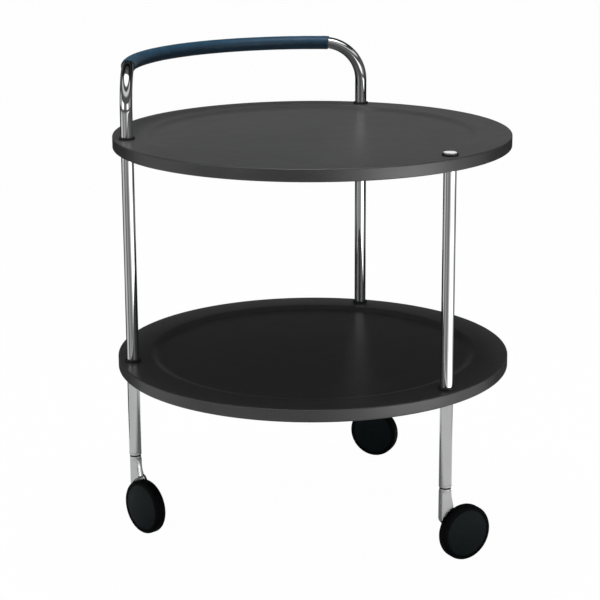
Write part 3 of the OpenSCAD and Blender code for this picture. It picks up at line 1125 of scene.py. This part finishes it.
def only_reflected(piece):
    """Staging that only glossy rays see."""
    piece.visible_camera = False
    piece.visible_diffuse = False
    piece.visible_transmission = False
    piece.visible_volume_scatter = False
    piece.visible_shadow = False


def turn_stops(lights, scale=1):
    """Ramp stops for lights given by degrees to the right of the camera, from -180 to 180."""
    return [((degrees + 180) / 360, (light / scale,) * 3) for degrees, light in lights]


def height_stops(lights, low, high, scale=1):
    """Ramp stops for lights given by degrees of height, from low to high."""
    return [((degrees - low) / (high - low), (light / scale,) * 3) for degrees, light in lights]


def screen_directions(made):
    """Height over the floor, turn from the camera and rise over the upper tray, for the screen."""
    aim = made.node("Mapping", {"Vector": made.place})
    aim.inputs["Rotation"].default_value[2] = math.radians(-toward_camera)
    parts = made.node("SeparateXYZ", {"Vector": aim.outputs[0]})
    turn = made.joined("Math", "ARCTAN2", parts.outputs["Y"], parts.outputs["X"])
    flat = made.node("VectorMath", {0: made.place})
    flat.operation = "MULTIPLY"
    flat.inputs[1].default_value = (1, 1, 0)
    reach = made.node("VectorMath", {0: flat.outputs[0]})
    reach.operation = "LENGTH"
    over_tray = made.node("Math", {0: parts.outputs["Z"]})
    over_tray.operation = "SUBTRACT"
    over_tray.inputs[1].default_value = upper_top
    rise = made.joined("Math", "ARCTAN2", over_tray.outputs[0], reach.outputs["Value"])
    return parts.outputs["Z"], turn, rise


def reflection_screen():
    """Studio round the object, seen only in reflections: lit floor sectors, wall cards and a sky."""
    brightest = 5.0
    floor_end, wall_start = 0.08, 0.3
    outline = [
        (1.0, 0.01), (3.4, 0.02), (3.7, 0.15), (3.8, 1.5), (3.4, 2.9), (2.4, 3.9), (1.2, 4.4), (0, 4.5),
    ]
    # Floor sectors: degrees to the right of the camera as the object sees it, and their light
    sectors = [
        (-180, 0.25), (-130, 0.3), (-110, 0.55), (-84, 0.8), (-70, 0.8), (-64, 0.17), (-52, 0.17),
        (-46, 0.5), (-28, 0.4), (-20, 0.28), (4, 0.25), (12, 0.9), (30, 1.6), (38, 4.0), (66, 4.0),
        (80, 1.0), (98, 0.7), (112, 0.15), (180, 0.2),
    ]
    # Cards on the wall: the same degrees and their light, then the heights that they fill
    cards = [
        (-180, 0.0), (-118, 0.0), (-112, 1.0), (-96, 1.0), (-90, 0.3), (-74, 0.3), (-68, 2.2), (-40, 2.2),
        (-32, 0.1), (10, 0.1), (17, 1.8), (42, 1.8), (50, 0.3), (90, 0.3), (110, 0.0), (180, 0.0),
    ]
    card_heights = [(-2, 0), (0, 1), (11, 1), (14, 0)]
    # Bands of the sky: degrees of height seen from the upper tray, and their light
    bands = [
        (-12, 0.0), (-6, 0.12), (28, 0.12), (34, 0.9), (41, 0.9), (45, 0.1),
        (54, 0.1), (60, 1.8), (68, 1.8), (76, 5.0), (90, 5.0),
    ]
    # Share of the bands' light by the degrees to the right: all in front, little behind
    sky = [(-180, 0.04), (-110, 0.04), (-90, 1.0), (90, 1.0), (110, 0.04), (180, 0.04)]

    made = Finish("reflection_screen")
    height, turn, rise = screen_directions(made)
    low, high = bands[0][0], bands[-1][0]
    turn_share = made.node("MapRange", {"Value": turn}, From_Min=-math.pi, From_Max=math.pi)
    rise_share = made.node("MapRange", {"Value": rise}, From_Min=math.radians(low),
                           From_Max=math.radians(high))
    on_floor = made.node("MapRange", {"Value": height}, From_Min=floor_end, From_Max=wall_start,
                         To_Min=1.0, To_Max=0.0)
    by_turn = turn_share.outputs[0]
    by_rise = rise_share.outputs[0]
    sector_light = made.ramp(by_turn, turn_stops(sectors, brightest))
    card_light = made.ramp(by_turn, turn_stops(cards, brightest))
    card_share = made.ramp(by_rise, height_stops(card_heights, low, high))
    band_light = made.ramp(by_rise, height_stops(bands, low, high, brightest))
    sky_share = made.ramp(by_turn, turn_stops(sky))
    floor_part = made.joined("VectorMath", "MULTIPLY", sector_light, on_floor.outputs[0])
    card_part = made.joined("VectorMath", "MULTIPLY", card_light, card_share)
    sky_part = made.joined("VectorMath", "MULTIPLY", band_light, sky_share)
    wall_part = made.joined("VectorMath", "ADD", card_part, sky_part)
    total = made.joined("VectorMath", "ADD", floor_part, wall_part)
    glow = made.node("Emission", {"Color": total}, Strength=brightest)
    made.tree.links.new(glow.outputs[0], made.tree.nodes["Material Output"].inputs[0])
    rings = [circle(radius, z, 96) for radius, z in outline]
    only_reflected(skin("reflection_screen", rings, made.material, closed=False))


def painted_reflection_card():
    """Dark card bent round behind the object, with painted reflection for the trays: painted shade, darkest under
    the upper tray, less dark as a painted sheen just over each tray.
    """
    low, high = 0.012, 0.85
    radius = 0.6
    half_turn = 85
    # Heights on the card, and their light: painted shade and painted sheen for the trays' reflections
    shades = [
        (0.0, 0.03), (0.245, 0.03), (0.26, 0.18), (0.31, 0.18), (0.34, 0.08), (0.44, 0.055),
        (0.52, 0.005), (0.565, 0.005), (0.6, 0.09), (high, 0.15),
    ]
    made = Finish("painted_reflection_card", Base_Color=(0, 0, 0, 1), Specular_IOR_Level=0)
    up = made.node("SeparateXYZ", {"Vector": made.place})
    height = made.node("MapRange", {"Value": up.outputs["Z"]}, From_Max=high)
    shade = made.ramp(height.outputs[0], [(z / high, (light,) * 3) for z, light in shades])
    glow = made.node("Emission", {"Color": shade})
    made.tree.links.new(glow.outputs[0], made.tree.nodes["Material Output"].inputs[0])
    steps = 48
    points = []
    for step in range(steps + 1):
        angle = math.radians(toward_camera + 180 + half_turn * (2 * step / steps - 1))
        points.append((radius * math.cos(angle), radius * math.sin(angle), low))
        points.append((radius * math.cos(angle), radius * math.sin(angle), high))
    mesh = bpy.data.meshes.new("painted_reflection_card")
    mesh.from_pydata(points, [], [(i, i + 2, i + 3, i + 1) for i in range(0, 2 * steps, 2)])
    only_reflected(new_object("painted_reflection_card", mesh, made.material))


def lamp(name, place, target, width, height, power):
    """Area lamp, itself not seen in reflections."""
    light = bpy.data.lights.new(name, "AREA")
    light.shape = "RECTANGLE"
    light.size = width
    light.size_y = height
    light.energy = power
    holder = bpy.data.objects.new(name, light)
    scene.collection.objects.link(holder)
    holder.location = place
    holder.visible_glossy = False
    holder.rotation_euler = (Vector(target) - Vector(place)).to_track_quat("-Z", "Y").to_euler()


def from_camera(right, distance, height):
    """Place at so many degrees to the right of the camera's direction, seen from the object."""
    angle = math.radians(toward_camera + right)
    return (distance * math.cos(angle), distance * math.sin(angle), height)


backdrop()
floor()
reflection_screen()
painted_reflection_card()
lamp("overhead", from_camera(180, 0.25, 3.5), (0, 0, 0.5), width=1.2, height=1.2, power=98)
lamp("right_front", from_camera(38, 2.6, 0.6), (0, 0, 0.45), width=1.2, height=0.7, power=8)
lamp("left_front", from_camera(-34, 2.6, 0.6), (0, 0, 0.45), width=1.2, height=0.7, power=6)

scene.view_settings.view_transform = "Standard"
